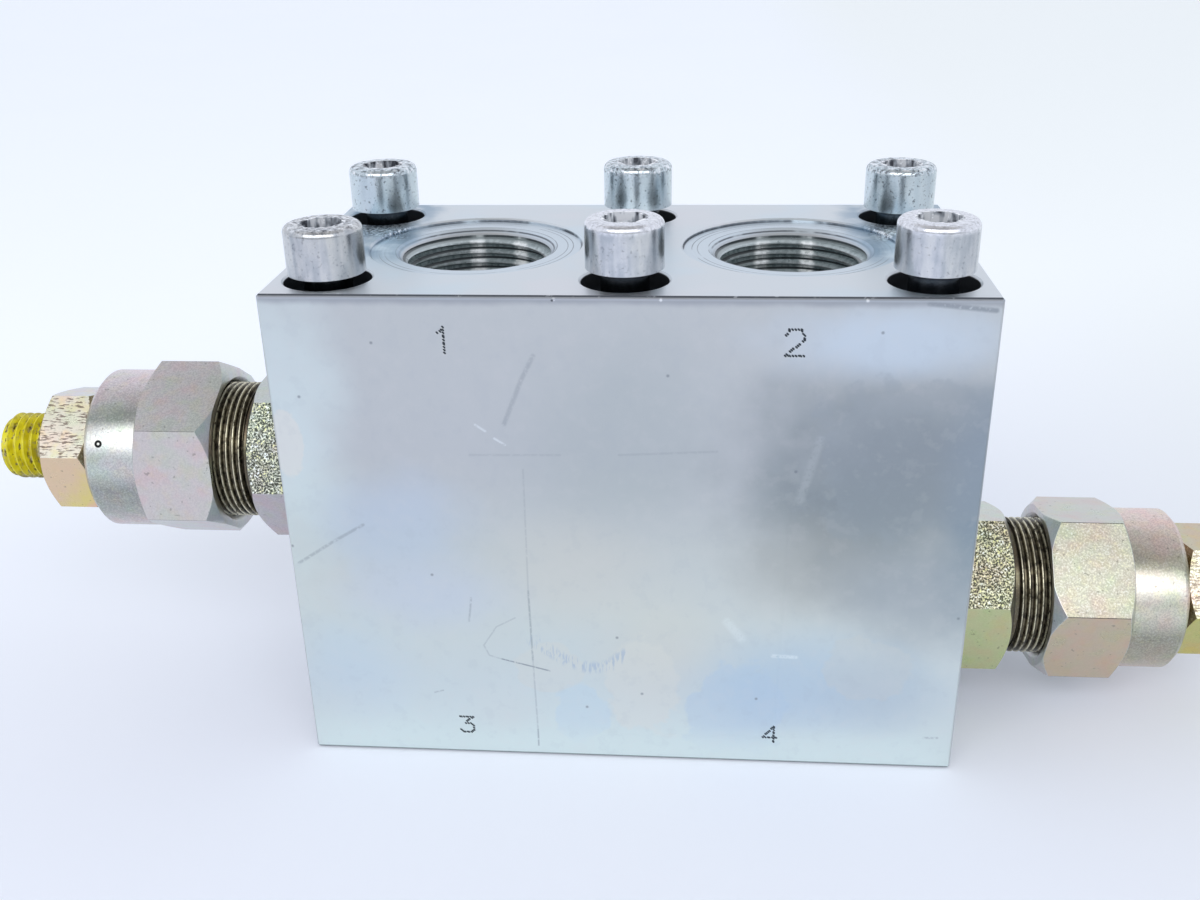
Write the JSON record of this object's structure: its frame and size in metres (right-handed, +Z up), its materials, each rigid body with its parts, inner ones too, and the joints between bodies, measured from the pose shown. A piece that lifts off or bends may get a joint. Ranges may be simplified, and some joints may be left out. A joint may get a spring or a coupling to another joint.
{
  "type": "hydraulic valve block",
  "caption": "Dual cross-over relief valve block: a rectangular steel body with threaded work ports, adjustable relief valve cartridges in its ends and loose mounting screws.",
  "frame": {"origin": "middle of the block's base face, on the surface that it stands on", "axes": "+X along the two cartridges towards the lower one, +Y to the back, +Z up, out of the work ports"},
  "size_m": [0.305, 0.075, 0.1229],
  "materials": {
    "zinc_block": "satin bluish zinc plating over milled faces",
    "bright_zinc_screw": "bright zinc plating",
    "passivated_cartridge": "pale iridescent passivated zinc",
    "golden_passivated": "golden passivated zinc",
    "adjusting_steel": "yellow marking paint over a dark oiled thread",
    "hardened_steel": "ground",
    "spring_wire": "oiled spring wire",
    "seal_rubber": "smooth nitrile rubber",
    "backup_plastic": "smooth"
  },
  "bodies": {
    "root": {"valve_block": "zinc_block", "left_base_seal": "seal_rubber", "left_valve_body": "passivated_cartridge", "left_valve_seat": "hardened_steel", "left_bonnet": "passivated_cartridge", "left_bonnet_seal": "seal_rubber", "left_face_seal": "seal_rubber", "left_nose_seal": "seal_rubber", "left_nose_backup_ring": "backup_plastic", "right_base_seal": "seal_rubber", "right_valve_body": "passivated_cartridge", "right_valve_seat": "hardened_steel", "right_bonnet": "passivated_cartridge", "right_bonnet_seal": "seal_rubber", "right_face_seal": "seal_rubber", "right_nose_seal": "seal_rubber", "right_nose_backup_ring": "backup_plastic"},
    "front_left_mounting_screw": {"front_left_mounting_screw": "bright_zinc_screw"},
    "front_middle_mounting_screw": {"front_middle_mounting_screw": "bright_zinc_screw"},
    "front_right_mounting_screw": {"front_right_mounting_screw": "bright_zinc_screw"},
    "back_left_mounting_screw": {"back_left_mounting_screw": "bright_zinc_screw"},
    "back_middle_mounting_screw": {"back_middle_mounting_screw": "bright_zinc_screw"},
    "back_right_mounting_screw": {"back_right_mounting_screw": "bright_zinc_screw"},
    "left_poppet": {"left_poppet": "hardened_steel"},
    "left_spring_plate": {"left_spring_plate": "hardened_steel", "left_spring_plate_seal": "seal_rubber", "left_main_spring": "spring_wire"},
    "left_adjusting_screw": {"left_adjusting_screw": "adjusting_steel"},
    "left_lock_washer": {"left_lock_washer": "golden_passivated"},
    "left_lock_nut": {"left_lock_nut": "golden_passivated"},
    "right_poppet": {"right_poppet": "hardened_steel"},
    "right_spring_plate": {"right_spring_plate": "hardened_steel", "right_spring_plate_seal": "seal_rubber", "right_main_spring": "spring_wire"},
    "right_adjusting_screw": {"right_adjusting_screw": "adjusting_steel"},
    "right_lock_washer": {"right_lock_washer": "golden_passivated"},
    "right_lock_nut": {"right_lock_nut": "golden_passivated"}
  },
  "joints": [
    {"name": "front_left_screw_slide", "type": "slide", "parent": "root", "child": "front_left_mounting_screw", "axis": [0, 0, 1], "range_m": [-0.0125, 0.095]},
    {"name": "front_middle_screw_slide", "type": "slide", "parent": "root", "child": "front_middle_mounting_screw", "axis": [0, 0, 1], "range_m": [-0.01365, 0.095]},
    {"name": "front_right_screw_slide", "type": "slide", "parent": "root", "child": "front_right_mounting_screw", "axis": [0, 0, 1], "range_m": [-0.0137, 0.095]},
    {"name": "back_left_screw_slide", "type": "slide", "parent": "root", "child": "back_left_mounting_screw", "axis": [0, 0, 1], "range_m": [-0.0134, 0.095]},
    {"name": "back_middle_screw_slide", "type": "slide", "parent": "root", "child": "back_middle_mounting_screw", "axis": [0, 0, 1], "range_m": [-0.0139, 0.095]},
    {"name": "back_right_screw_slide", "type": "slide", "parent": "root", "child": "back_right_mounting_screw", "axis": [0, 0, 1], "range_m": [-0.0133, 0.095]},
    {"name": "left_poppet_lift", "type": "slide", "parent": "root", "child": "left_poppet", "axis": [-1, 0, 0], "range_m": [0, 0.002], "stiffness_N_per_m": 75000, "deforming": ["left_main_spring"]},
    {"name": "left_spring_plate_slide", "type": "slide", "parent": "root", "child": "left_spring_plate", "axis": [-1, 0, 0], "range_m": [-0.003, 0.003], "deforming": ["left_main_spring"]},
    {"name": "left_adjusting_screw_turn", "type": "hinge", "parent": "left_spring_plate", "child": "left_adjusting_screw", "pos_m": [-0.1275, 0, 0.0592], "axis": [-1, 0, 0], "range_deg": [-540, 540]},
    {"name": "left_lock_washer_slide", "type": "slide", "parent": "root", "child": "left_lock_washer", "axis": [-1, 0, 0], "range_m": [0, 0.006]},
    {"name": "left_lock_nut_turn", "type": "hinge", "parent": "left_lock_washer", "child": "left_lock_nut", "pos_m": [-0.1275, 0, 0.0592], "axis": [-1, 0, 0], "range_deg": [0, 1080]},
    {"name": "right_poppet_lift", "type": "slide", "parent": "root", "child": "right_poppet", "axis": [1, 0, 0], "range_m": [0, 0.002], "stiffness_N_per_m": 75000, "deforming": ["right_main_spring"]},
    {"name": "right_spring_plate_slide", "type": "slide", "parent": "root", "child": "right_spring_plate", "axis": [1, 0, 0], "range_m": [-0.003, 0.003], "deforming": ["right_main_spring"]},
    {"name": "right_adjusting_screw_turn", "type": "hinge", "parent": "right_spring_plate", "child": "right_adjusting_screw", "pos_m": [0.1275, 0, 0.0263], "axis": [1, 0, 0], "range_deg": [-540, 540]},
    {"name": "right_lock_washer_slide", "type": "slide", "parent": "root", "child": "right_lock_washer", "axis": [1, 0, 0], "range_m": [0, 0.006]},
    {"name": "right_lock_nut_turn", "type": "hinge", "parent": "right_lock_washer", "child": "right_lock_nut", "pos_m": [0.1275, 0, 0.0263], "axis": [1, 0, 0], "range_deg": [0, 1080]}
  ],
  "couplings": [
    {"joint": "left_spring_plate_slide", "follows": "left_adjusting_screw_turn", "m_per_rad": 0.00031831},
    {"joint": "left_lock_washer_slide", "follows": "left_lock_nut_turn", "m_per_rad": 0.00031831},
    {"joint": "right_spring_plate_slide", "follows": "right_adjusting_screw_turn", "m_per_rad": 0.00031831},
    {"joint": "right_lock_washer_slide", "follows": "right_lock_nut_turn", "m_per_rad": 0.00031831}
  ]
}
